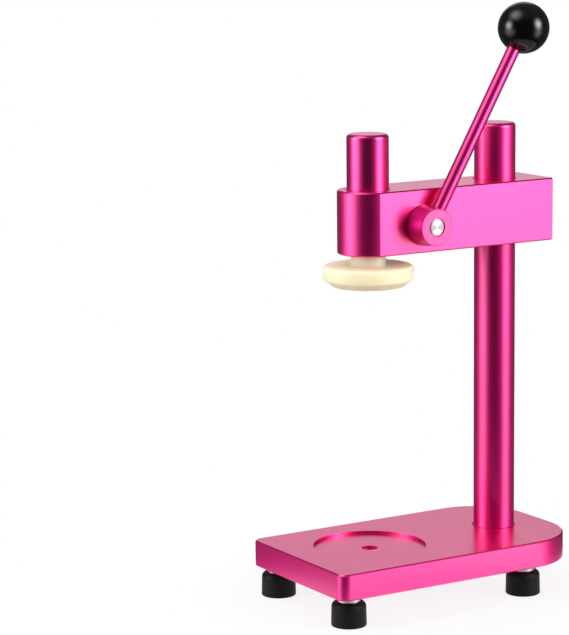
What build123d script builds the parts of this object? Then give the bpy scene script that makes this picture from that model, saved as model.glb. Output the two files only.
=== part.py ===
from build123d import *
import math
import os

# Bench can seamer: a hand press on a base plate, with a rack and pinion ram and a side lever.
# Millimetres. x points to the operator's right, y to the back and z up from the bench.
# The origin is on the bench, under the middle of the base plate.

# Base plate
BASE_WIDTH = 102.0
BASE_BEHIND_COLUMN = 33.0
BASE_THICKNESS = 16.0
BASE_FRONT_CORNER = 6.0
BASE_REAR_CORNER = 36.0
BASE_EDGE_BREAK = 0.8

# Can seat
SEAT_DIAMETER = 68.0
SEAT_DEPTH = 1.8
SEAT_TO_BASE_FRONT = 52.3
CENTRE_HOLE_DIAMETER = 10.0

# Feet
FOOT_DIAMETER = 21.0
FOOT_TAPER = 0.7
FOOT_HEIGHT = 14.7
FOOT_SHOULDER = 3.3
FOOT_BOTTOM_ROUND = 0.8
FOOT_RECESS_DIAMETER = 12.5
FOOT_RECESS_DEPTH = 8.0
FOOT_SIDE_INSET = 11.6
FOOT_FRONT_INSET = 11.9
FOOT_REAR_INSET = 39.6
FOOT_WASHER_DIAMETER = 13.4
FOOT_WASHER_THICKNESS = 3.0
FOOT_SCREW_DIAMETER = 6.0
FOOT_SCREW_HEAD_DIAMETER = 10.0
FOOT_SCREW_HEAD_HEIGHT = 5.5
FOOT_SCREW_GRIP = 10.0

# Column
COLUMN_DIAMETER = 25.0
COLUMN_BEHIND_RAM = 91.9
COLUMN_POCKET = 10.0
COLUMN_ABOVE_ARM = 34.4
COLUMN_SCREW_DIAMETER = 10.0
COLUMN_SCREW_HEAD_DIAMETER = 19.0
COLUMN_SCREW_SUNK = 0.4
COLUMN_SCREW_GRIP = 20.0

# Arm
ARM_WIDTH = 36.6
ARM_HEIGHT = 38.0
ARM_ABOVE_BASE = 177.5
ARM_BEHIND_COLUMN = 30.7
ARM_EDGE_BREAK = 0.8
NOSE_OVER_HALF_WIDTH = 0.35
NOSE_BEHIND_RAM = 0.4
NOSE_CREASE_ROUND = 4.0
BORE_MOUTH = 1.0
CLAMP_SCREW_DIAMETER = 8.0
CLAMP_SCREW_LENGTH = 12.0
CLAMP_PAD_DIAMETER = 6.5
CLAMP_PAD_LENGTH = 4.0
CLAMP_SCREW_SPACING = 18.0

# Rack and pinion
MODULE = 1.0
GEAR_TEETH = 33
PRESSURE_ANGLE = 20.0
GEAR_WIDTH = 7.0
BACKLASH = 0.16
RACK_PITCH_LINE = 11.0
RACK_WIDTH = 8.0
RACK_BACKING = 1.8
RACK_LAND = 6.4
RACK_SCREW_DIAMETER = 3.0
RACK_SCREW_HEAD_DIAMETER = 5.6
RACK_SCREW_GRIP = 3.2
SHAFT_ABOVE_ARM_BOTTOM = 16.7
SHAFT_DIAMETER = 10.0
SHAFT_END_CHAMFER = 0.7
KEY_WIDTH = 3.0
KEY_HEIGHT = 3.0
KEY_IN_SHAFT = 1.8
BUSH_WALL = 2.0
FAR_SIDE_WALL = 4.5
RING_THICKNESS = 1.0
RING_WIDTH = 2.4
RING_GROOVE_DEPTH = 0.2
RING_GAP_ANGLE = 50.0

# Lever
HUB_DIAMETER = 24.8
HUB_FACE_DIAMETER = 22.0
HUB_LENGTH = 13.5
HUB_EDGE_BREAK = 0.4
HUB_BORE_MOUTH = 0.6
HUB_ROD_MOUTH = 1.7
HUB_SCREW_DIAMETER = 5.0
HUB_SCREW_LENGTH = 4.5
HUB_SCREW_ANGLE = 120.0
LEVER_LEAN = 30.5
LEVER_ROD_DIAMETER = 8.0
LEVER_REACH = 131.6
KNOB_DIAMETER = 30.8
KNOB_FLAT_DIAMETER = 10.0
KNOB_ROD_DEPTH = 15.0
INSERT_DIAMETER = 12.0
INSERT_LENGTH = 12.0

# Ram and press head
RAM_DIAMETER = 25.0
RAM_STROKE = 33.0
RAM_BELOW_ARM = 0.8
BAR_END_ROUND = 2.5
HEAD_NECK_DIAMETER = 21.0
HEAD_NECK_HEIGHT = 6.1
HEAD_FLANGE_DIAMETER = 54.0
HEAD_FLANGE_HEIGHT = 8.3
HEAD_FLANGE_ROUND = 2.2
HEAD_FLANGE_LOWER_ROUND = 1.5
HEAD_SLOPE_HEIGHT = 2.8
HEAD_SLOPE_WIDTH = 4.4
HEAD_PLUG_HEIGHT = 1.3
HEAD_PLUG_TAPER = 1.2
HEAD_PLUG_ROUND = 0.8
HEAD_SCREW_DIAMETER = 6.0
HEAD_SCREW_HEAD_DIAMETER = 10.0
HEAD_SCREW_HEAD_HEIGHT = 6.0
HEAD_SCREW_SUNK = 2.0
HEAD_SCREW_GRIP = 16.0

# Clearances
RUNNING_GAP = 0.05
SCREW_GAP = 0.05
SEAT_GAP = 0.03
SIDE_GAP = 0.3
GEAR_GAP = 0.8
HEAD_SCREW_GAP = 0.4
SCREW_END_GAP = 1.0

# Proportions that standards fix
ROOT_RATIO = 1.25
CAP_SOCKET_RATIO = 0.8
SUNK_SOCKET_RATIO = 0.6
SET_SOCKET_RATIO = 0.5
SOCKET_DEPTH_RATIO = 0.5

# Tolerance for finding an edge by its size and place
NEAR = 1e-3

# Levels and axes worked out from the sizes above
BASE_LENGTH = SEAT_TO_BASE_FRONT + COLUMN_BEHIND_RAM + BASE_BEHIND_COLUMN
BASE_BOTTOM = FOOT_HEIGHT + FOOT_WASHER_THICKNESS
BASE_TOP = BASE_BOTTOM + BASE_THICKNESS
ARM_BOTTOM = BASE_TOP + ARM_ABOVE_BASE
ARM_TOP = ARM_BOTTOM + ARM_HEIGHT
COLUMN_BOTTOM = BASE_TOP - COLUMN_POCKET
COLUMN_TOP = ARM_TOP + COLUMN_ABOVE_ARM
RAM_BOTTOM = ARM_BOTTOM - RAM_BELOW_ARM
RAM_TOP = ARM_TOP + RAM_STROKE
PLUG_BOTTOM = RAM_BOTTOM - HEAD_NECK_HEIGHT - HEAD_FLANGE_HEIGHT - HEAD_SLOPE_HEIGHT - HEAD_PLUG_HEIGHT
HEAD_SCREW_SEAT = PLUG_BOTTOM + HEAD_SCREW_SUNK + HEAD_SCREW_HEAD_HEIGHT
RAM_Y = SEAT_TO_BASE_FRONT - BASE_LENGTH / 2
COLUMN_Y = RAM_Y + COLUMN_BEHIND_RAM
ARM_REAR_Y = COLUMN_Y + ARM_BEHIND_COLUMN
NOSE_Y = RAM_Y + NOSE_BEHIND_RAM
HALF_ARM = ARM_WIDTH / 2
NOSE_RADIUS = HALF_ARM + NOSE_OVER_HALF_WIDTH

# Gear, rack and shaft geometry
PITCH = math.pi * MODULE
GEAR_RADIUS = MODULE * GEAR_TEETH / 2
GEAR_TIP = GEAR_RADIUS + MODULE
GEAR_ROOT = GEAR_RADIUS - ROOT_RATIO * MODULE
RACK_TIP = RACK_PITCH_LINE + MODULE
RACK_ROOT = RACK_PITCH_LINE - ROOT_RATIO * MODULE
RACK_BACK = RACK_ROOT - RACK_BACKING
SHAFT_Y = RAM_Y + RACK_PITCH_LINE + GEAR_RADIUS
SHAFT_Z = ARM_BOTTOM + SHAFT_ABOVE_ARM_BOTTOM
SHAFT_RADIUS = SHAFT_DIAMETER / 2
BUSH_RADIUS = SHAFT_RADIUS + BUSH_WALL
MESH_REACH = math.sqrt(GEAR_TIP**2 - (GEAR_TIP - ROOT_RATIO * MODULE - MODULE)**2)
TEETH_BELOW = math.ceil(MESH_REACH / PITCH)
TEETH_ABOVE = math.ceil((RAM_STROKE + MESH_REACH) / PITCH)
RACK_BOTTOM = SHAFT_Z - TEETH_BELOW * PITCH - RACK_LAND
RACK_TOP = SHAFT_Z + TEETH_ABOVE * PITCH + RACK_LAND

# Stations along the shaft
GEAR_LEFT = -GEAR_WIDTH / 2
GEAR_RIGHT = GEAR_WIDTH / 2
RING_LEFT = GEAR_RIGHT + SIDE_GAP
SLOT_LEFT = GEAR_LEFT - SIDE_GAP
SLOT_RIGHT = RING_LEFT + RING_THICKNESS + SIDE_GAP
FAR_BORE_END = FAR_SIDE_WALL - HALF_ARM
HUB_LEFT = HALF_ARM + SIDE_GAP
HUB_RIGHT = HUB_LEFT + HUB_LENGTH
LEVER_X = HUB_LEFT + HUB_LENGTH / 2
FOOT_SPOTS = {
    "front_right": (1, FOOT_FRONT_INSET - BASE_LENGTH / 2),
    "front_left": (-1, FOOT_FRONT_INSET - BASE_LENGTH / 2),
    "rear_right": (1, BASE_LENGTH / 2 - FOOT_REAR_INSET),
    "rear_left": (-1, BASE_LENGTH / 2 - FOOT_REAR_INSET),
}
FOOT_X = BASE_WIDTH / 2 - FOOT_SIDE_INSET
CLAMP_LEVELS = [ARM_BOTTOM + ARM_HEIGHT / 2 + s * CLAMP_SCREW_SPACING / 2 for s in (-1, 1)]
RACK_SCREW_LEVELS = [RACK_BOTTOM + RACK_LAND / 2, RACK_TOP - RACK_LAND / 2]


def upright(diameter, low, high, x=0.0, y=0.0):
    """Round bar along z."""
    return Pos(x, y, (low + high) / 2) * Cylinder(diameter / 2, high - low)


def crosswise(diameter, left, right, y=0.0, z=0.0):
    """Round bar along x."""
    return Pos((left + right) / 2, y, z) * Rot(0, 90, 0) * Cylinder(diameter / 2, right - left)


def lengthwise(diameter, front, back, x, z):
    """Round bar along y."""
    return Pos(x, (front + back) / 2, z) * Rot(90, 0, 0) * Cylinder(diameter / 2, back - front)


def flare(diameter, width, level, side, x=0.0, y=0.0):
    """Cone that breaks the mouth of an upright hole; side is 1 for a top face and -1 for a bottom one."""
    cone = Cone(diameter / 2, diameter / 2 + width, width)
    return Pos(x, y, level - side * width / 2) * (cone if side > 0 else Rot(180, 0, 0) * cone)


def turned(points, rounds=()):
    """Solid of revolution about z from a closed outline of (radius, height) points.

    Each of the rounds is a point of the outline and the radius of the corner there.
    """
    outline = make_face(Polyline(*points, close=True))
    for point, radius in rounds:
        outline = fillet(outline.vertices().sort_by_distance(point)[0], radius)
    return revolve(Plane.XZ * outline, Axis.Z)


def rims(solid, diameter, level):
    """Round edges of a turned solid, found by diameter and height."""
    circles = solid.edges().filter_by(GeomType.CIRCLE)
    same_size = circles.filter_by(lambda edge: math.isclose(2 * edge.radius, diameter, abs_tol=NEAR))
    return same_size.filter_by(lambda edge: math.isclose(edge.arc_center.Z, level, abs_tol=NEAR))


def hexagon(across, depth):
    """Hexagon socket cutter, from z = 0 upwards."""
    return extrude(RegularPolygon(across / 2, 6, major_radius=False), depth)


def cap_screw(diameter, length, head_diameter, head_height):
    """Socket head cap screw that points up, with the head's bearing face at z = 0."""
    screw = upright(head_diameter, -head_height, 0) + upright(diameter, 0, length)
    socket = hexagon(diameter * CAP_SOCKET_RATIO, head_height * SOCKET_DEPTH_RATIO)
    return screw - Pos(0, 0, -head_height) * socket


def countersunk_form(diameter, length, head_diameter):
    """Countersunk head and shank that point up, with the flat of the head at z = 0."""
    points = [
        (0, 0),
        (head_diameter / 2, 0),
        (diameter / 2, (head_diameter - diameter) / 2),
        (diameter / 2, length),
        (0, length),
    ]
    return turned(points)


def countersunk_screw(diameter, length, head_diameter):
    """Countersunk form with a hexagon socket."""
    socket_depth = (head_diameter - diameter) / 2 * SOCKET_DEPTH_RATIO
    socket = hexagon(diameter * SUNK_SOCKET_RATIO, socket_depth)
    return countersunk_form(diameter, length, head_diameter) - socket


def set_screw(diameter, length):
    """Headless screw from z = 0 up, with its socket in the lower end."""
    return upright(diameter, 0, length) - hexagon(diameter * SET_SOCKET_RATIO, length * SOCKET_DEPTH_RATIO)


def base_plate():
    plan = Rectangle(BASE_WIDTH, BASE_LENGTH)
    plan = fillet(plan.vertices().group_by(Axis.Y)[0], BASE_FRONT_CORNER)
    plan = fillet(plan.vertices().group_by(Axis.Y)[-1], BASE_REAR_CORNER)
    plate = Pos(0, 0, BASE_BOTTOM) * extrude(plan, BASE_THICKNESS)
    outline = plate.faces().sort_by(Axis.Z)[-1].edges() + plate.faces().sort_by(Axis.Z)[0].edges()
    plate = chamfer(outline, BASE_EDGE_BREAK)
    plate -= upright(SEAT_DIAMETER, BASE_TOP - SEAT_DEPTH, BASE_TOP, y=RAM_Y)
    plate -= upright(CENTRE_HOLE_DIAMETER, BASE_BOTTOM, BASE_TOP, y=RAM_Y)
    plate -= upright(COLUMN_DIAMETER + 2 * SEAT_GAP, COLUMN_BOTTOM, BASE_TOP, y=COLUMN_Y)
    plate -= flare(COLUMN_DIAMETER, BORE_MOUTH, BASE_TOP, 1, y=COLUMN_Y)
    plate -= column_screw_hole()
    hole_top = BASE_BOTTOM + FOOT_SCREW_GRIP + SCREW_END_GAP
    for side, y in FOOT_SPOTS.values():
        plate -= upright(FOOT_SCREW_DIAMETER + 2 * SCREW_GAP, BASE_BOTTOM, hole_top, side * FOOT_X, y)
    return plate


def column_screw_hole():
    head_diameter = COLUMN_SCREW_HEAD_DIAMETER + 2 * SCREW_GAP
    head_level = BASE_BOTTOM + COLUMN_SCREW_SUNK
    form = countersunk_form(COLUMN_SCREW_DIAMETER + 2 * SCREW_GAP, COLUMN_BOTTOM - head_level, head_diameter)
    return upright(head_diameter, BASE_BOTTOM, head_level, y=COLUMN_Y) + Pos(0, COLUMN_Y, head_level) * form


def foot(side, y):
    outer = FOOT_DIAMETER / 2
    upper = outer - FOOT_TAPER / 2
    points = [(0, 0), (outer, 0), (upper, FOOT_HEIGHT), (0, FOOT_HEIGHT)]
    body = turned(points, [(points[1], FOOT_BOTTOM_ROUND), (points[2], FOOT_SHOULDER)])
    body -= upright(FOOT_RECESS_DIAMETER, 0, FOOT_RECESS_DEPTH)
    body -= upright(FOOT_SCREW_DIAMETER + 2 * SCREW_GAP, FOOT_RECESS_DEPTH, FOOT_HEIGHT)
    return Pos(side * FOOT_X, y, 0) * body


def foot_washers():
    washer = upright(FOOT_WASHER_DIAMETER, FOOT_HEIGHT, BASE_BOTTOM)
    washer -= upright(FOOT_SCREW_DIAMETER + 2 * SCREW_GAP, FOOT_HEIGHT, BASE_BOTTOM)
    return Compound(children=[Pos(side * FOOT_X, y, 0) * washer for side, y in FOOT_SPOTS.values()])


def foot_screws():
    length = BASE_BOTTOM + FOOT_SCREW_GRIP - FOOT_RECESS_DEPTH
    screw = cap_screw(FOOT_SCREW_DIAMETER, length, FOOT_SCREW_HEAD_DIAMETER, FOOT_SCREW_HEAD_HEIGHT)
    spots = FOOT_SPOTS.values()
    return Compound(children=[Pos(side * FOOT_X, y, FOOT_RECESS_DEPTH) * screw for side, y in spots])


def column():
    bar = upright(COLUMN_DIAMETER, COLUMN_BOTTOM, COLUMN_TOP)
    bar = fillet(rims(bar, COLUMN_DIAMETER, COLUMN_TOP), BAR_END_ROUND)
    hole_top = COLUMN_BOTTOM + COLUMN_SCREW_GRIP + SCREW_END_GAP
    bar -= upright(COLUMN_SCREW_DIAMETER + 2 * SCREW_GAP, COLUMN_BOTTOM, hole_top)
    return Pos(0, COLUMN_Y, 0) * bar


def column_screw():
    head_level = BASE_BOTTOM + COLUMN_SCREW_SUNK
    length = COLUMN_BOTTOM + COLUMN_SCREW_GRIP - head_level
    screw = countersunk_screw(COLUMN_SCREW_DIAMETER, length, COLUMN_SCREW_HEAD_DIAMETER)
    return Pos(0, COLUMN_Y, head_level) * screw


def arm():
    """Bar with a rounded nose that meets the flat sides in a faint crease."""
    length = ARM_REAR_Y - NOSE_Y
    nose = Circle(NOSE_RADIUS) & Rectangle(ARM_WIDTH, 2 * NOSE_RADIUS)
    plan = Pos(0, NOSE_Y + length / 2) * Rectangle(ARM_WIDTH, length) + Pos(0, NOSE_Y) * nose
    plan = fillet(plan.vertices().group_by(Axis.Y)[0], NOSE_CREASE_ROUND)
    block = Pos(0, 0, ARM_BOTTOM) * extrude(plan, ARM_HEIGHT)
    outline = block.faces().sort_by(Axis.Z)[-1].edges() + block.faces().sort_by(Axis.Z)[0].edges()
    corners = block.edges().filter_by(Axis.Z).group_by(Axis.Y)[-1]
    block = chamfer(outline + corners, ARM_EDGE_BREAK)
    for diameter, y in ((RAM_DIAMETER, RAM_Y), (COLUMN_DIAMETER, COLUMN_Y)):
        block -= upright(diameter + 2 * RUNNING_GAP, ARM_BOTTOM, ARM_TOP, y=y)
        block -= flare(diameter + 2 * RUNNING_GAP, BORE_MOUTH, ARM_TOP, 1, y=y)
        block -= flare(diameter + 2 * RUNNING_GAP, BORE_MOUTH, ARM_BOTTOM, -1, y=y)
    return block - gear_slot() - bush_bores() - clamp_bores()


def gear_slot():
    """Slot cut from the underside with a round cutter; it opens into the ram's bore."""
    radius = GEAR_TIP + GEAR_GAP
    middle = (SLOT_LEFT + SLOT_RIGHT) / 2
    mouth = Box(SLOT_RIGHT - SLOT_LEFT, 2 * radius, SHAFT_ABOVE_ARM_BOTTOM)
    mouth = Pos(middle, SHAFT_Y, SHAFT_Z - SHAFT_ABOVE_ARM_BOTTOM / 2) * mouth
    return crosswise(2 * radius, SLOT_LEFT, SLOT_RIGHT, SHAFT_Y, SHAFT_Z) + mouth


def bush_bores():
    far = crosswise(2 * BUSH_RADIUS, FAR_BORE_END, SLOT_LEFT, SHAFT_Y, SHAFT_Z)
    return far + crosswise(2 * BUSH_RADIUS, SLOT_RIGHT, HALF_ARM, SHAFT_Y, SHAFT_Z)


def clamp_bores():
    start = COLUMN_Y + COLUMN_DIAMETER / 2
    bores = [lengthwise(CLAMP_SCREW_DIAMETER + 2 * SCREW_GAP, start, ARM_REAR_Y, 0, z) for z in CLAMP_LEVELS]
    return bores[0] + bores[1]


def clamp_pads():
    start = COLUMN_Y + COLUMN_DIAMETER / 2 + RUNNING_GAP
    pads = [lengthwise(CLAMP_PAD_DIAMETER, start, start + CLAMP_PAD_LENGTH, 0, z) for z in CLAMP_LEVELS]
    return Compound(children=pads)


def clamp_screws():
    tip = COLUMN_Y + COLUMN_DIAMETER / 2 + RUNNING_GAP + CLAMP_PAD_LENGTH
    screw = Rot(90, 0, 0) * set_screw(CLAMP_SCREW_DIAMETER, CLAMP_SCREW_LENGTH)
    return Compound(children=[Pos(0, tip + CLAMP_SCREW_LENGTH, z) * screw for z in CLAMP_LEVELS])


def bush(left, right):
    sleeve = crosswise(2 * BUSH_RADIUS, left, right, SHAFT_Y, SHAFT_Z)
    return sleeve - crosswise(SHAFT_DIAMETER + 2 * RUNNING_GAP, left, right, SHAFT_Y, SHAFT_Z)


def pinion_shaft():
    left = FAR_BORE_END + SIDE_GAP
    bar = crosswise(SHAFT_DIAMETER, left, HUB_RIGHT)
    bar = chamfer(bar.edges().filter_by(GeomType.CIRCLE), SHAFT_END_CHAMFER)
    keyway = Box(GEAR_WIDTH, KEY_WIDTH + 2 * SEAT_GAP, KEY_IN_SHAFT)
    bar -= Pos(0, 0, SHAFT_RADIUS - KEY_IN_SHAFT / 2) * keyway
    groove_ends = (RING_LEFT - SEAT_GAP, RING_LEFT + RING_THICKNESS + SEAT_GAP)
    groove = crosswise(SHAFT_DIAMETER, *groove_ends)
    groove -= crosswise(SHAFT_DIAMETER - 2 * RING_GROOVE_DEPTH, *groove_ends)
    return Pos(0, SHAFT_Y, SHAFT_Z) * (bar - groove)


def retaining_ring():
    """Open spring ring in the shaft's groove, with its gap at the bottom."""
    outer = SHAFT_RADIUS + RING_WIDTH
    right = RING_LEFT + RING_THICKNESS
    ring = crosswise(2 * outer, RING_LEFT, right)
    ring -= crosswise(SHAFT_DIAMETER - 2 * RING_GROOVE_DEPTH + 2 * SEAT_GAP, RING_LEFT, right)
    spread = outer * math.tan(math.radians(RING_GAP_ANGLE / 2))
    wedge = make_face(Polyline((0, 0), (-spread, -outer), (spread, -outer), close=True))
    ring -= Pos(RING_LEFT, 0, 0) * extrude(Plane.YZ * wedge, RING_THICKNESS)
    return Pos(0, SHAFT_Y, SHAFT_Z) * ring


def polar(radius, angle):
    return (radius * math.cos(angle), radius * math.sin(angle))


def half_tooth_angle(radius):
    """Half the angle that a gear tooth takes at a radius, by the involute of the base circle."""
    pressure = math.radians(PRESSURE_ANGLE)
    base_circle = GEAR_RADIUS * math.cos(pressure)
    at_radius = math.acos(min(1.0, base_circle / radius))
    involute = math.tan(pressure) - pressure - math.tan(at_radius) + at_radius
    return (math.pi * MODULE / 2 - BACKLASH / 2) / (2 * GEAR_RADIUS) + involute


def gear_outline():
    """Edges of the toothed outline, with a tooth space towards the ram."""
    step = 2 * math.pi / GEAR_TEETH
    radii = [GEAR_ROOT, (GEAR_ROOT + GEAR_TIP) / 2, GEAR_TIP]
    half = [half_tooth_angle(radius) for radius in radii]
    edges = []
    for tooth in range(GEAR_TEETH):
        middle = math.pi + (tooth + 0.5) * step
        rising = [polar(radius, middle - angle) for radius, angle in zip(radii, half)]
        falling = [polar(radius, middle + angle) for radius, angle in zip(radii, half)]
        next_root = polar(GEAR_ROOT, middle + step - half[0])
        edges.append(ThreePointArc(*rising))
        edges.append(ThreePointArc(rising[2], polar(GEAR_TIP, middle), falling[2]))
        edges.append(ThreePointArc(falling[2], falling[1], falling[0]))
        edges.append(ThreePointArc(falling[0], polar(GEAR_ROOT, middle + step / 2), next_root))
    return edges


def drive_gear():
    gear = Pos(GEAR_LEFT, 0, 0) * extrude(Plane.YZ * make_face(gear_outline()), GEAR_WIDTH)
    gear -= crosswise(SHAFT_DIAMETER + 2 * SEAT_GAP, GEAR_LEFT, GEAR_RIGHT)
    key_top = SHAFT_RADIUS - KEY_IN_SHAFT + KEY_HEIGHT + SEAT_GAP
    gear -= Pos(0, 0, key_top / 2) * Box(GEAR_WIDTH, KEY_WIDTH + 2 * SEAT_GAP, key_top)
    return Pos(0, SHAFT_Y, SHAFT_Z) * gear


def gear_key():
    level = SHAFT_RADIUS - KEY_IN_SHAFT + KEY_HEIGHT / 2
    return Pos(0, SHAFT_Y, SHAFT_Z + level) * Box(GEAR_WIDTH, KEY_WIDTH, KEY_HEIGHT)


def leaned(piece):
    """Place a piece that was drawn with the lever upright over the shaft's middle."""
    return Pos(0, SHAFT_Y, SHAFT_Z) * Rot(-LEVER_LEAN, 0, 0) * piece


def lever_hub():
    """Hub that tapers from the arm to its outer face."""
    bore = SHAFT_DIAMETER + 2 * SEAT_GAP
    rod_hole = LEVER_ROD_DIAMETER + 2 * SCREW_GAP
    hub = Pos(LEVER_X, 0, 0) * Rot(0, 90, 0) * Cone(HUB_DIAMETER / 2, HUB_FACE_DIAMETER / 2, HUB_LENGTH)
    hub = chamfer(hub.edges().filter_by(GeomType.CIRCLE), HUB_EDGE_BREAK)
    hub -= crosswise(bore, HUB_LEFT, HUB_RIGHT)
    hub -= Rot(0, 90, 0) * flare(bore, HUB_BORE_MOUTH, HUB_RIGHT, 1)
    hub -= upright(rod_hole, 0, HUB_DIAMETER / 2, x=LEVER_X)
    hub -= flare(rod_hole, HUB_ROD_MOUTH, HUB_DIAMETER / 2, 1, x=LEVER_X)
    screw_hole = upright(HUB_SCREW_DIAMETER + 2 * SCREW_GAP, 0, HUB_DIAMETER / 2, x=LEVER_X)
    return leaned(hub - Rot(-HUB_SCREW_ANGLE, 0, 0) * screw_hole)


def hub_set_screw():
    screw = Rot(180, 0, 0) * set_screw(HUB_SCREW_DIAMETER, HUB_SCREW_LENGTH)
    screw = Pos(LEVER_X, 0, SHAFT_RADIUS + SCREW_GAP + HUB_SCREW_LENGTH) * screw
    return leaned(Rot(-HUB_SCREW_ANGLE, 0, 0) * screw)


def knob_flat_level():
    radius = KNOB_DIAMETER / 2
    return LEVER_REACH - math.sqrt(radius**2 - (KNOB_FLAT_DIAMETER / 2) ** 2)


def lever_rod():
    top = knob_flat_level() + KNOB_ROD_DEPTH
    return leaned(upright(LEVER_ROD_DIAMETER, SHAFT_RADIUS + SIDE_GAP, top, x=LEVER_X))


def insert_ends():
    top = knob_flat_level() + KNOB_ROD_DEPTH + SCREW_END_GAP
    return top - INSERT_LENGTH, top


def ball_knob():
    low, high = insert_ends()
    flat = knob_flat_level()
    ball = Pos(LEVER_X, 0, LEVER_REACH) * Sphere(KNOB_DIAMETER / 2)
    ball -= upright(KNOB_DIAMETER, LEVER_REACH - KNOB_DIAMETER, flat, x=LEVER_X)
    ball -= upright(LEVER_ROD_DIAMETER + 2 * SCREW_GAP, flat, low, x=LEVER_X)
    return leaned(ball - upright(INSERT_DIAMETER, low, high, x=LEVER_X))


def knob_insert():
    low, high = insert_ends()
    insert = upright(INSERT_DIAMETER, low, high, x=LEVER_X)
    return leaned(insert - upright(LEVER_ROD_DIAMETER + 2 * SCREW_GAP, low, high, x=LEVER_X))


def ram():
    bar = upright(RAM_DIAMETER, RAM_BOTTOM, RAM_TOP)
    bar = fillet(rims(bar, RAM_DIAMETER, RAM_TOP), BAR_END_ROUND)
    depth = RAM_DIAMETER / 2 - RACK_BACK
    groove = Box(RACK_WIDTH + 2 * SEAT_GAP, depth, RACK_TOP - RACK_BOTTOM + 2 * SEAT_GAP)
    bar -= Pos(0, RACK_BACK + depth / 2, (RACK_BOTTOM + RACK_TOP) / 2) * groove
    hole_top = RAM_BOTTOM + HEAD_SCREW_GRIP + SCREW_END_GAP
    bar -= upright(HEAD_SCREW_DIAMETER + 2 * SCREW_GAP, RAM_BOTTOM, hole_top)
    for z in RACK_SCREW_LEVELS:
        bar -= lengthwise(RACK_SCREW_DIAMETER + 2 * SCREW_GAP, RACK_BACK - RACK_SCREW_GRIP, RACK_BACK, 0, z)
    return Pos(0, RAM_Y, 0) * bar


def rack_space(z):
    """Cutter for one tooth space of the rack, wider towards the gear."""
    slope = math.tan(math.radians(PRESSURE_ANGLE))
    at_pitch = PITCH / 4 + BACKLASH / 4
    bottom = at_pitch - slope * (RACK_PITCH_LINE - RACK_ROOT)
    top = at_pitch + slope * (RACK_TIP - RACK_PITCH_LINE)
    points = [(RACK_ROOT, z - bottom), (RACK_TIP, z - top), (RACK_TIP, z + top), (RACK_ROOT, z + bottom)]
    space = Plane.YZ * make_face(Polyline(*points, close=True))
    return Pos(-RACK_WIDTH / 2, 0, 0) * extrude(space, RACK_WIDTH)


def rack():
    """Toothed bar let into the ram's back, with its outer corners turned flush with the ram."""
    height = RACK_TIP - RACK_BACK
    bar = Box(RACK_WIDTH, height, RACK_TOP - RACK_BOTTOM)
    bar = Pos(0, RACK_BACK + height / 2, (RACK_BOTTOM + RACK_TOP) / 2) * bar
    bar &= upright(RAM_DIAMETER, RACK_BOTTOM, RACK_TOP)
    for tooth in range(-TEETH_BELOW, TEETH_ABOVE):
        bar -= rack_space(SHAFT_Z + (tooth + 0.5) * PITCH)
    head_diameter = RACK_SCREW_HEAD_DIAMETER + 2 * SCREW_GAP
    hole = countersunk_form(RACK_SCREW_DIAMETER + 2 * SCREW_GAP, height, head_diameter)
    for z in RACK_SCREW_LEVELS:
        bar -= Pos(0, RACK_TIP, z) * Rot(90, 0, 0) * hole
    return Pos(0, RAM_Y, 0) * bar


def rack_screws():
    length = RACK_TIP - RACK_BACK + RACK_SCREW_GRIP - SCREW_GAP
    screw = Rot(90, 0, 0) * countersunk_screw(RACK_SCREW_DIAMETER, length, RACK_SCREW_HEAD_DIAMETER)
    return Compound(children=[Pos(0, RAM_Y + RACK_TIP, z) * screw for z in RACK_SCREW_LEVELS])


def press_head():
    """Neck, flange and, below a slope, the plug that enters the lid."""
    flange_top = RAM_BOTTOM - HEAD_NECK_HEIGHT
    flange_bottom = flange_top - HEAD_FLANGE_HEIGHT
    plug_radius = HEAD_FLANGE_DIAMETER / 2 - HEAD_SLOPE_WIDTH
    points = [
        (0, RAM_BOTTOM),
        (HEAD_NECK_DIAMETER / 2, RAM_BOTTOM),
        (HEAD_NECK_DIAMETER / 2, flange_top),
        (HEAD_FLANGE_DIAMETER / 2, flange_top),
        (HEAD_FLANGE_DIAMETER / 2, flange_bottom),
        (plug_radius, flange_bottom - HEAD_SLOPE_HEIGHT),
        (plug_radius - HEAD_PLUG_TAPER, PLUG_BOTTOM),
        (0, PLUG_BOTTOM),
    ]
    upper_rim = (points[3], HEAD_FLANGE_ROUND)
    lower_rim = (points[4], HEAD_FLANGE_LOWER_ROUND)
    plug_rim = (points[6], HEAD_PLUG_ROUND)
    head = turned(points, [upper_rim, lower_rim, plug_rim])
    head -= upright(HEAD_SCREW_HEAD_DIAMETER + 2 * HEAD_SCREW_GAP, PLUG_BOTTOM, HEAD_SCREW_SEAT)
    head -= upright(HEAD_SCREW_DIAMETER + 2 * SCREW_GAP, HEAD_SCREW_SEAT, RAM_BOTTOM)
    return Pos(0, RAM_Y, 0) * head


def head_screw():
    length = RAM_BOTTOM + HEAD_SCREW_GRIP - HEAD_SCREW_SEAT
    screw = cap_screw(HEAD_SCREW_DIAMETER, length, HEAD_SCREW_HEAD_DIAMETER, HEAD_SCREW_HEAD_HEIGHT)
    return Pos(0, RAM_Y, HEAD_SCREW_SEAT) * screw


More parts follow.
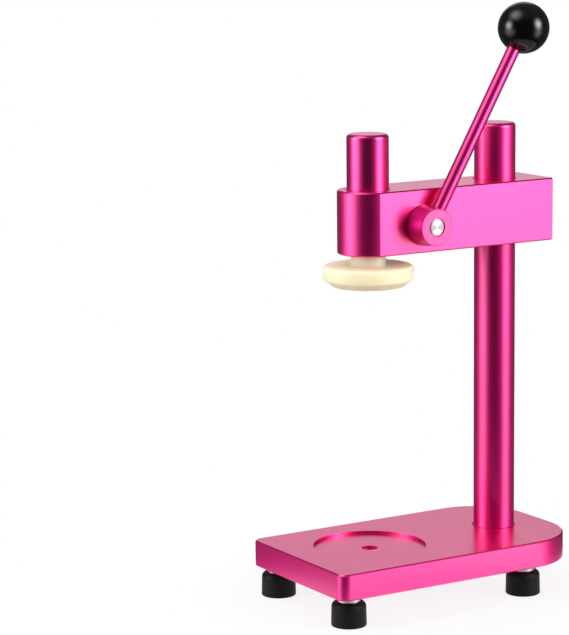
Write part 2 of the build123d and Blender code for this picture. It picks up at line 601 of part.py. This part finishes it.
def assembly():
    """All nodes by name."""
    nodes = {
        "base_plate": base_plate(),
        "foot_washers": foot_washers(),
        "foot_screws": foot_screws(),
        "column": column(),
        "column_screw": column_screw(),
        "arm": arm(),
        "clamp_pads": clamp_pads(),
        "clamp_screws": clamp_screws(),
        "lever_side_bush": bush(SLOT_RIGHT, HALF_ARM),
        "far_side_bush": bush(FAR_BORE_END, SLOT_LEFT),
        "pinion_shaft": pinion_shaft(),
        "shaft_retaining_ring": retaining_ring(),
        "drive_gear": drive_gear(),
        "gear_key": gear_key(),
        "lever_hub": lever_hub(),
        "hub_set_screw": hub_set_screw(),
        "lever_rod": lever_rod(),
        "ball_knob": ball_knob(),
        "knob_insert": knob_insert(),
        "ram": ram(),
        "rack": rack(),
        "rack_screws": rack_screws(),
        "press_head": press_head(),
        "head_screw": head_screw(),
    }
    for name, (side, y) in FOOT_SPOTS.items():
        nodes["foot_" + name] = foot(side, y)
    return nodes


os.makedirs("parts", exist_ok=True)
for node_name, solid in assembly().items():
    export_step(solid, "parts/" + node_name + ".step")
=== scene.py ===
import math

import bpy
from mathutils import Matrix, Vector


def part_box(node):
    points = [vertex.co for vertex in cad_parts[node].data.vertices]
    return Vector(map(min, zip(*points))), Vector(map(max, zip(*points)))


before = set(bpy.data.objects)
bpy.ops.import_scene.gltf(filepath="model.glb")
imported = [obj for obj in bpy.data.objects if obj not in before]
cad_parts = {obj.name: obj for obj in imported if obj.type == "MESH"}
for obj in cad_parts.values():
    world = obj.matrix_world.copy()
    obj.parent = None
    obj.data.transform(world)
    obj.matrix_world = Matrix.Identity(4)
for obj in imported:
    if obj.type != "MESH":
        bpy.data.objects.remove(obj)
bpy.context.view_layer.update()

# Camera, fitted to edges of the object: angles in degrees, lengths in metres
IMAGE_HEIGHT_PX = 635
SENSOR_MM = 36.0
FOCAL_PX = 2667.4
CAMERA_AZIMUTH = 58.679
CAMERA_ELEVATION = 9.829
CAMERA_ROLL = -0.604
CAMERA_DISTANCE = 1.60564
CAMERA_AIM = Vector((0.0, 0.0037, 0.16))
CAMERA_RIGHT = -0.08407
CAMERA_UP = 0.00855
CAMERA_REACH = 20.0

# Colours, linear
ANODISED_PINK = (0.95, 0.010, 0.280, 1.0)
ANODISED_PINK_DEEP = (0.92, 0.008, 0.262, 1.0)
ANODISED_EDGE = (1.0, 0.50, 0.78, 1.0)
STEEL = (0.80, 0.80, 0.79, 1.0)
STEEL_DULL = (0.66, 0.66, 0.65, 1.0)
BRONZE = (0.62, 0.40, 0.17, 1.0)
BRONZE_DULL = (0.48, 0.30, 0.12, 1.0)
CREAM = (0.84, 0.80, 0.59, 1.0)
CREAM_WARM = (0.84, 0.78, 0.54, 1.0)
KNOB_BLACK = (0.0015, 0.0015, 0.002, 1.0)
RUBBER_BLACK = (0.003, 0.003, 0.0035, 1.0)
RUBBER_GREY = (0.006, 0.006, 0.0065, 1.0)
FLOOR_WHITE = (0.82, 0.82, 0.82, 1.0)
WHITE = (1.0, 1.0, 1.0, 1.0)

# Directions in the frame, and its origin
UPRIGHT = (0.0, 0.0, 1.0)
ACROSS = (1.0, 0.0, 0.0)
ORIGIN = (0.0, 0.0, 0.0)

# Roughness: a middle value, or the two ends that a cloudy pattern runs between
BASE_ROUGHNESS = 0.45
ARM_ROUGHNESS = 0.41
COLUMN_ROUGHNESS = 0.44
RAM_ROUGHNESS = 0.37
HUB_ROUGHNESS = 0.52
ROD_ROUGHNESS = 0.40
ANODISED_ROUGHNESS_SWING = 0.03
SHAFT_ROUGHNESS = 0.50
STEEL_ROUGHNESS = 0.42
BRONZE_ROUGHNESS = 0.32
METAL_ROUGHNESS_SWING = 0.05
NYLON_ROUGHNESS = (0.42, 0.52)
KNOB_ROUGHNESS = (0.12, 0.18)
RUBBER_ROUGHNESS = (0.42, 0.58)

# Specular level of the rubber, where 0.5 is the usual one
RUBBER_SPECULAR = 0.15

# Clear oxide layer on the anodised pieces
OXIDE_WEIGHT = 0.9
OXIDE_IOR = 1.77
OXIDE_ROUGHNESS = 0.25

# Anisotropy of pieces turned about X; a quarter turn draws the shine out across their rings
HUB_FLANK_SHINE = 0.55
SHAFT_SHINE = 0.8
SHINE_TURN = 0.25

# Light inside the nylon: reach in metres, and the share of it for each colour
NYLON_DEPTH = 0.014
NYLON_DEPTH_SHARES = (1.0, 0.75, 0.4)

# Patterns: detail and scale, per metre, of the clouds and of the fine grain
CLOUD_DETAIL = 2.0
FINE_DETAIL = 3.0
LATHE_SCALE = 2600.0
ANODISED_CLOUD = 45.0
ANODISED_GRAIN = 3200.0
METAL_CLOUD = 120.0
METAL_GRAIN = 2400.0
NYLON_CLOUD = 60.0
KNOB_WAVE = 130.0
RUBBER_CLOUD = 90.0
RUBBER_CLOUD_DETAIL = 4.0
RUBBER_GRAIN = 1500.0

# Depths of the patterns in metres
ANODISED_GRAIN_DEPTH = 0.000003
ANODISED_LATHE_DEPTH = 0.000003
HUB_LATHE_DEPTH = 0.000007
METAL_GRAIN_DEPTH = 0.000004
METAL_LATHE_DEPTH = 0.00001
NYLON_LATHE_DEPTH = 0.00002
KNOB_WAVE_DEPTH = 0.000006
RUBBER_GRAIN_DEPTH = 0.00003

# Studio: azimuths are from the camera's, in degrees; lengths in metres; radiance where white is 1.
# A softbox is brightest in its middle; its spread is the standard deviation across and up, and
# SOFTBOX_SPREADS is half the card's size in spreads.
STUDIO_MIDDLE = Vector((0.0, 0.0, 0.2))
SOFTBOXES = {
    "right_softbox": {"azimuth": 66.0, "elevation": 17.0, "spread": (0.32, 0.34), "radiance": 14.5},
    "right_low_box": {"azimuth": 66.0, "elevation": -12.0, "spread": (0.38, 0.40), "radiance": 2.6},
    "left_softbox": {"azimuth": -75.0, "elevation": 14.0, "spread": (0.34, 0.31), "radiance": 9.5},
    "left_low_box": {"azimuth": -71.0, "elevation": -10.0, "spread": (0.58, 0.36), "radiance": 2.1},
    "top_softbox": {"azimuth": -65.0, "elevation": 58.0, "spread": (0.50, 0.42), "radiance": 3.8},
}
SOFTBOX_DISTANCE = 2.0
SOFTBOX_SPREADS = 2.6
WALL_RADIUS = 2.8
WALL_BOTTOM = -3.2
WALL_TOP = 2.8
WALL_STEPS = 24
ROUND_STEPS = 64
FRONT_WALL_HALF = 80.0
SIDE_WALL_END = 162.0
BACK_WALL = (SIDE_WALL_END, 360.0 - SIDE_WALL_END)
FRONT_RADIANCE = 0.01
SIDE_RADIANCE = 0.09
BACK_RADIANCE = 0.8
BACK_LOW_RADIANCE = 0.2
BACK_LOW_TOP = 0.2
CEILING_RADIANCE = 0.15
GROUND_RADIUS = 0.5
GROUND_LEVEL = -0.25
GROUND_RADIANCE = 0.5
FLOOR_RADIUS = 0.145
FLOOR_FADE_FROM = 0.09
FLOOR_FADE_TO = 0.14
FLOOR_SHADOW_SHARE = 0.14
FLOOR_ROUGHNESS = 0.9
AMBIENT = 0.45


def axes_of_view(azimuth, elevation):
    """Right, up and back vectors of a level view, by angles in degrees."""
    az = math.radians(azimuth)
    el = math.radians(elevation)
    back = Vector((math.sin(az) * math.cos(el), -math.cos(az) * math.cos(el), math.sin(el)))
    right = Vector((math.cos(az), math.sin(az), 0.0))
    return right, back.cross(right), back


def placed(right, up, back, place):
    """Matrix of an object with these axes at a place."""
    return Matrix.Translation(place) @ Matrix((right, up, back)).transposed().to_4x4()


def link_object(name, data):
    thing = bpy.data.objects.new(name, data)
    bpy.context.scene.collection.objects.link(thing)
    return thing


def mesh_object(name, vertices, faces):
    mesh = bpy.data.meshes.new(name)
    mesh.from_pydata(vertices, [], faces)
    return link_object(name, mesh)


def add_camera():
    right, up, back = axes_of_view(CAMERA_AZIMUTH, CAMERA_ELEVATION)
    roll = math.radians(CAMERA_ROLL)
    rolled_right = right * math.cos(roll) + up * math.sin(roll)
    rolled_up = up * math.cos(roll) - right * math.sin(roll)
    place = CAMERA_AIM + back * CAMERA_DISTANCE + rolled_right * CAMERA_RIGHT + rolled_up * CAMERA_UP
    camera = link_object("camera", bpy.data.cameras.new("camera"))
    camera.matrix_world = placed(rolled_right, rolled_up, back, place)
    camera.data.sensor_width = SENSOR_MM
    camera.data.lens = FOCAL_PX * SENSOR_MM / IMAGE_HEIGHT_PX
    camera.data.clip_end = CAMERA_REACH
    bpy.context.scene.camera = camera


# Shader nodes

def set_input(tree, socket, value):
    """Set an input, or link it where the value is an output socket."""
    if isinstance(value, bpy.types.NodeSocket):
        tree.links.new(value, socket)
    else:
        socket.default_value = value


def set_inputs(tree, node, **inputs):
    """Set or link inputs by name, with _ for each space."""
    for name, value in inputs.items():
        set_input(tree, node.inputs[name.replace("_", " ")], value)


def add_node(tree, kind, **inputs):
    node = tree.nodes.new(kind)
    set_inputs(tree, node, **inputs)
    return node


def operation_node(tree, kind, operation, values):
    """Node of an operation on values that are given in order."""
    node = tree.nodes.new(kind)
    node.operation = operation
    for socket, value in zip(node.inputs, values):
        set_input(tree, socket, value)
    return node


def math_node(tree, operation, *values):
    return operation_node(tree, "ShaderNodeMath", operation, values).outputs["Value"]


def vector_node(tree, operation, *values):
    """Operation on vectors that gives a vector."""
    return operation_node(tree, "ShaderNodeVectorMath", operation, values).outputs["Vector"]


def vector_measure(tree, operation, *values):
    """Operation on vectors that gives a number."""
    return operation_node(tree, "ShaderNodeVectorMath", operation, values).outputs["Value"]


def new_material(name):
    """Node material with its tree and its principled shader."""
    material = bpy.data.materials.new(name)
    material.use_nodes = True
    return material, material.node_tree, material.node_tree.nodes["Principled BSDF"]


def show_surface(tree, surface):
    tree.links.new(surface, tree.nodes["Material Output"].inputs["Surface"])


def place_of(tree):
    """Position on the piece, in metres of the frame."""
    return tree.nodes.new("ShaderNodeTexCoord").outputs["Object"]


def noise(tree, vector, scale, detail=CLOUD_DETAIL):
    return add_node(tree, "ShaderNodeTexNoise", Vector=vector, Scale=scale, Detail=detail).outputs["Fac"]


def ramp(tree, value, low, high, start=0.0, end=1.0):
    """Value that runs from start to end, stretched to run from low to high."""
    limits = {"From_Min": start, "From_Max": end, "To_Min": low, "To_Max": high}
    return add_node(tree, "ShaderNodeMapRange", Value=value, **limits).outputs["Result"]


def blend_colours(tree, factor, first, second):
    node = tree.nodes.new("ShaderNodeMix")
    node.data_type = "RGBA"
    set_inputs(tree, node, Factor=factor, A=first, B=second)
    return node.outputs["Result"]


def bump(tree, height, depth, under=None):
    """Normal with a height pattern, depth in metres; under is a normal to build on."""
    node = add_node(tree, "ShaderNodeBump", Height=height, Distance=depth)
    if under is not None:
        tree.links.new(under, node.inputs["Normal"])
    return node.outputs["Normal"]


def distance_from_axis(tree, point, axis):
    """Distance from a straight line, and the place along it, in metres."""
    offset = vector_node(tree, "SUBTRACT", place_of(tree), point)
    station = vector_measure(tree, "DOT_PRODUCT", offset, axis)
    across = vector_node(tree, "CROSS_PRODUCT", offset, axis)
    return vector_measure(tree, "LENGTH", across), station


def turned_marks(tree, point, axis):
    """Fine rings that a lathe leaves round an axis, on the sides and on the ends."""
    radius, station = distance_from_axis(tree, point, axis)
    place = add_node(tree, "ShaderNodeCombineXYZ", X=radius, Y=station)
    return noise(tree, place.outputs["Vector"], LATHE_SCALE, FINE_DETAIL)


def by_facing(tree, axis, flank, end):
    """Value with one level on the flank of a piece turned about an axis, and another on its ends."""
    normal = tree.nodes.new("ShaderNodeNewGeometry").outputs["Normal"]
    facing = vector_measure(tree, "DOT_PRODUCT", normal, axis)
    return ramp(tree, math_node(tree, "POWER", facing, 2.0), flank, end)


def turned_shine(tree, shader, share):
    """Shine drawn out across the rings of a piece turned about X."""
    tangent = tree.nodes.new("ShaderNodeTangent")
    tangent.direction_type = "RADIAL"
    tangent.axis = "X"
    set_inputs(tree, shader, Tangent=tangent.outputs["Tangent"])
    set_inputs(tree, shader, Anisotropic=share, Anisotropic_Rotation=SHINE_TURN)


def seen_as_background(tree):
    """1 for the rays of the camera, of reflections and of clear pieces, 0 for the rest."""
    path = tree.nodes.new("ShaderNodeLightPath")
    seen = path.outputs["Is Camera Ray"]
    for ray in ("Is Glossy Ray", "Is Transmission Ray"):
        seen = math_node(tree, "MAXIMUM", seen, path.outputs[ray])
    return seen


# Materials of the pieces

def set_finish(tree, shader, pattern, colours, rough_ends, normal):
    """Normal, and colour and roughness that a pattern moves between two ends."""
    colour = blend_colours(tree, pattern, *colours)
    roughness = ramp(tree, pattern, *rough_ends)
    set_inputs(tree, shader, Base_Color=colour, Roughness=roughness, Normal=normal)


def anodised(name, roughness, axis=None, point=ORIGIN, marks=ANODISED_LATHE_DEPTH):
    """Dyed, satin anodised aluminium: turned about an axis, or blasted where there is none."""
    material, tree, shader = new_material(name)
    place = place_of(tree)
    cloud = noise(tree, place, ANODISED_CLOUD)
    rough_ends = (roughness - ANODISED_ROUGHNESS_SWING, roughness + ANODISED_ROUGHNESS_SWING)
    normal = bump(tree, noise(tree, place, ANODISED_GRAIN, FINE_DETAIL), ANODISED_GRAIN_DEPTH)
    if axis is not None:
        normal = bump(tree, turned_marks(tree, point, axis), marks, normal)
    if axis == ACROSS:
        turned_shine(tree, shader, by_facing(tree, axis, HUB_FLANK_SHINE, 0.0))
    set_finish(tree, shader, cloud, (ANODISED_PINK, ANODISED_PINK_DEEP), rough_ends, normal)
    set_inputs(tree, shader, Metallic=1.0, Specular_Tint=ANODISED_EDGE)
    set_inputs(tree, shader, Coat_Weight=OXIDE_WEIGHT, Coat_IOR=OXIDE_IOR)
    set_inputs(tree, shader, Coat_Roughness=OXIDE_ROUGHNESS)
    return material


def metal(name, bright, dull, roughness, axis=None, point=ORIGIN):
    """Bare machined metal; where it has an axis, it is turned and shines across its rings."""
    material, tree, shader = new_material(name)
    place = place_of(tree)
    cloud = noise(tree, place, METAL_CLOUD)
    rough_ends = (roughness - METAL_ROUGHNESS_SWING, roughness + METAL_ROUGHNESS_SWING)
    normal = bump(tree, noise(tree, place, METAL_GRAIN, FINE_DETAIL), METAL_GRAIN_DEPTH)
    if axis is not None:
        normal = bump(tree, turned_marks(tree, point, axis), METAL_LATHE_DEPTH, normal)
        turned_shine(tree, shader, SHAFT_SHINE)
    set_finish(tree, shader, cloud, (bright, dull), rough_ends, normal)
    set_inputs(tree, shader, Metallic=1.0)
    return material


def nylon(name, point):
    """Cream nylon that lets light in, turned about the ram's axis."""
    material, tree, shader = new_material(name)
    cloud = noise(tree, place_of(tree), NYLON_CLOUD)
    normal = bump(tree, turned_marks(tree, point, UPRIGHT), NYLON_LATHE_DEPTH)
    set_finish(tree, shader, cloud, (CREAM, CREAM_WARM), NYLON_ROUGHNESS, normal)
    set_inputs(tree, shader, Subsurface_Weight=1.0, Subsurface_Radius=NYLON_DEPTH_SHARES)
    set_inputs(tree, shader, Subsurface_Scale=NYLON_DEPTH)
    return material


def phenolic(name):
    """Polished black moulding with a faint waviness."""
    material, tree, shader = new_material(name)
    wave = noise(tree, place_of(tree), KNOB_WAVE)
    normal = bump(tree, wave, KNOB_WAVE_DEPTH)
    set_finish(tree, shader, wave, (KNOB_BLACK, RUBBER_BLACK), KNOB_ROUGHNESS, normal)
    return material


def rubber(name):
    """Moulded black rubber with a fine matt grain."""
    material, tree, shader = new_material(name)
    place = place_of(tree)
    cloud = noise(tree, place, RUBBER_CLOUD, RUBBER_CLOUD_DETAIL)
    normal = bump(tree, noise(tree, place, RUBBER_GRAIN, FINE_DETAIL), RUBBER_GRAIN_DEPTH)
    set_finish(tree, shader, cloud, (RUBBER_BLACK, RUBBER_GREY), RUBBER_ROUGHNESS, normal)
    set_inputs(tree, shader, Specular_IOR_Level=RUBBER_SPECULAR)
    return material


def dress(material, *names):
    for name in names:
        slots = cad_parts[name].data.materials
        slots.clear()
        slots.append(material)


def middle_of(node):
    low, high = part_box(node)
    return tuple((a + b) / 2 for a, b in zip(low, high))


def dress_nodes():
    shaft = middle_of("pinion_shaft")
    dress(anodised("pink_anodised_base", BASE_ROUGHNESS), "base_plate")
    dress(anodised("pink_anodised_arm", ARM_ROUGHNESS), "arm")
    dress(anodised("pink_anodised_column", COLUMN_ROUGHNESS, UPRIGHT, middle_of("column")), "column")
    dress(anodised("pink_anodised_ram", RAM_ROUGHNESS, UPRIGHT, middle_of("ram")), "ram")
    dress(anodised("pink_anodised_hub", HUB_ROUGHNESS, ACROSS, shaft, HUB_LATHE_DEPTH), "lever_hub")
    dress(anodised("pink_anodised_rod", ROD_ROUGHNESS), "lever_rod")
    dress(metal("bright_steel_shaft", STEEL, STEEL_DULL, SHAFT_ROUGHNESS, ACROSS, shaft), "pinion_shaft")
    steel = metal("bright_steel", STEEL, STEEL_DULL, STEEL_ROUGHNESS)
    dress(steel, "foot_washers", "foot_screws", "column_screw", "clamp_screws", "shaft_retaining_ring")
    dress(steel, "drive_gear", "gear_key", "hub_set_screw", "rack", "rack_screws", "head_screw")
    bronze = metal("bronze", BRONZE, BRONZE_DULL, BRONZE_ROUGHNESS)
    dress(bronze, "clamp_pads", "lever_side_bush", "far_side_bush", "knob_insert")
    dress(nylon("cream_nylon", middle_of("press_head")), "press_head")
    dress(phenolic("black_knob"), "ball_knob")
    feet = ["foot_front_right", "foot_front_left", "foot_rear_right", "foot_rear_left"]
    dress(rubber("black_rubber"), *feet)


# Studio

def unseen_card(card):
    """Card of the studio that the camera doesn't see: its tree, without a surface."""
    material, tree, shader = new_material(card.name)
    tree.nodes.remove(shader)
    card.data.materials.append(material)
    card.visible_camera = False
    card.visible_shadow = False
    return tree


def plain_glow(card, radiance):
    """Even light that only reflections see."""
    tree = unseen_card(card)
    card.visible_diffuse = False
    emission = add_node(tree, "ShaderNodeEmission", Color=WHITE, Strength=radiance)
    show_surface(tree, emission.outputs["Emission"])


def soft_glow(card, spread, radiance):
    """Light that falls off smoothly from the middle of a card, which is clear where it is dark."""
    tree = unseen_card(card)
    scaled = vector_node(tree, "DIVIDE", place_of(tree), (*spread, 1.0))
    square = math_node(tree, "POWER", vector_measure(tree, "LENGTH", scaled), 2.0)
    falloff = math_node(tree, "EXPONENT", math_node(tree, "MULTIPLY", square, -0.5))
    strength = math_node(tree, "MULTIPLY", falloff, radiance)
    emission = add_node(tree, "ShaderNodeEmission", Color=WHITE, Strength=strength)
    clear = tree.nodes.new("ShaderNodeBsdfTransparent")
    both = tree.nodes.new("ShaderNodeAddShader")
    tree.links.new(emission.outputs["Emission"], both.inputs[0])
    tree.links.new(clear.outputs["BSDF"], both.inputs[1])
    show_surface(tree, both.outputs["Shader"])


def add_softbox(name, azimuth, elevation, spread, radiance):
    """Soft light that faces the middle of the studio."""
    right, up, back = axes_of_view(CAMERA_AZIMUTH + azimuth, elevation)
    x = spread[0] * SOFTBOX_SPREADS
    y = spread[1] * SOFTBOX_SPREADS
    card = mesh_object(name, [(-x, -y, 0.0), (x, -y, 0.0), (x, y, 0.0), (-x, y, 0.0)], [(0, 1, 2, 3)])
    card.matrix_world = placed(right, up, back, STUDIO_MIDDLE + back * SOFTBOX_DISTANCE)
    soft_glow(card, spread, radiance)


def add_wall(name, start, end, radiance, bottom=WALL_BOTTOM, top=WALL_TOP):
    """Upright part of a round wall, between two azimuths from the camera's."""
    vertices = []
    for step in range(WALL_STEPS + 1):
        azimuth = CAMERA_AZIMUTH + start + (end - start) * step / WALL_STEPS
        outward = axes_of_view(azimuth, 0.0)[2] * WALL_RADIUS
        vertices += [(outward.x, outward.y, bottom), (outward.x, outward.y, top)]
    faces = [(2 * i, 2 * i + 2, 2 * i + 3, 2 * i + 1) for i in range(WALL_STEPS)]
    plain_glow(mesh_object(name, vertices, faces), radiance)


def round_card(name, radius, level):
    """Level disc about the frame's upright axis."""
    angles = [2 * math.pi * i / ROUND_STEPS for i in range(ROUND_STEPS)]
    corners = [(radius * math.cos(a), radius * math.sin(a), level) for a in angles]
    return mesh_object(name, corners, [tuple(range(ROUND_STEPS))])


def add_floor():
    """Pale round floor: seen or reflected, it fades to white and keeps a light shadow of the object."""
    floor = round_card("floor", FLOOR_RADIUS, 0.0)
    material, tree, shader = new_material("floor")
    set_inputs(tree, shader, Base_Color=FLOOR_WHITE, Roughness=FLOOR_ROUGHNESS)
    white = add_node(tree, "ShaderNodeEmission", Color=WHITE, Strength=1.0)
    radius, _ = distance_from_axis(tree, ORIGIN, UPRIGHT)
    fade = ramp(tree, radius, 1.0 - FLOOR_SHADOW_SHARE, 1.0, FLOOR_FADE_FROM, FLOOR_FADE_TO)
    share = math_node(tree, "MULTIPLY", fade, seen_as_background(tree))
    mix = add_node(tree, "ShaderNodeMixShader", Fac=share)
    tree.links.new(shader.outputs["BSDF"], mix.inputs[1])
    tree.links.new(white.outputs["Emission"], mix.inputs[2])
    show_surface(tree, mix.outputs["Shader"])
    floor.data.materials.append(material)


def add_world():
    """White for the camera and for reflections, dimmer for the light that it gives."""
    world = bpy.data.worlds.new("studio")
    world.use_nodes = True
    bpy.context.scene.world = world
    tree = world.node_tree
    strength = ramp(tree, seen_as_background(tree), AMBIENT, 1.0)
    set_inputs(tree, tree.nodes["Background"], Color=WHITE, Strength=strength)


def add_studio():
    """Floor and white world, then dark walls, a pale back and soft lights for the metal to mirror."""
    add_floor()
    add_world()
    add_wall("front_wall", -FRONT_WALL_HALF, FRONT_WALL_HALF, FRONT_RADIANCE)
    add_wall("right_wall", FRONT_WALL_HALF, SIDE_WALL_END, SIDE_RADIANCE)
    add_wall("left_wall", -SIDE_WALL_END, -FRONT_WALL_HALF, SIDE_RADIANCE)
    add_wall("back_wall", *BACK_WALL, BACK_RADIANCE, bottom=BACK_LOW_TOP)
    add_wall("back_low_wall", *BACK_WALL, BACK_LOW_RADIANCE, top=BACK_LOW_TOP)
    plain_glow(round_card("ceiling", WALL_RADIUS, WALL_TOP), CEILING_RADIANCE)
    plain_glow(round_card("ground", GROUND_RADIUS, GROUND_LEVEL), GROUND_RADIANCE)
    for name, values in SOFTBOXES.items():
        add_softbox(name, **values)


add_camera()
add_studio()
dress_nodes()

bpy.context.scene.view_settings.view_transform = "Standard"
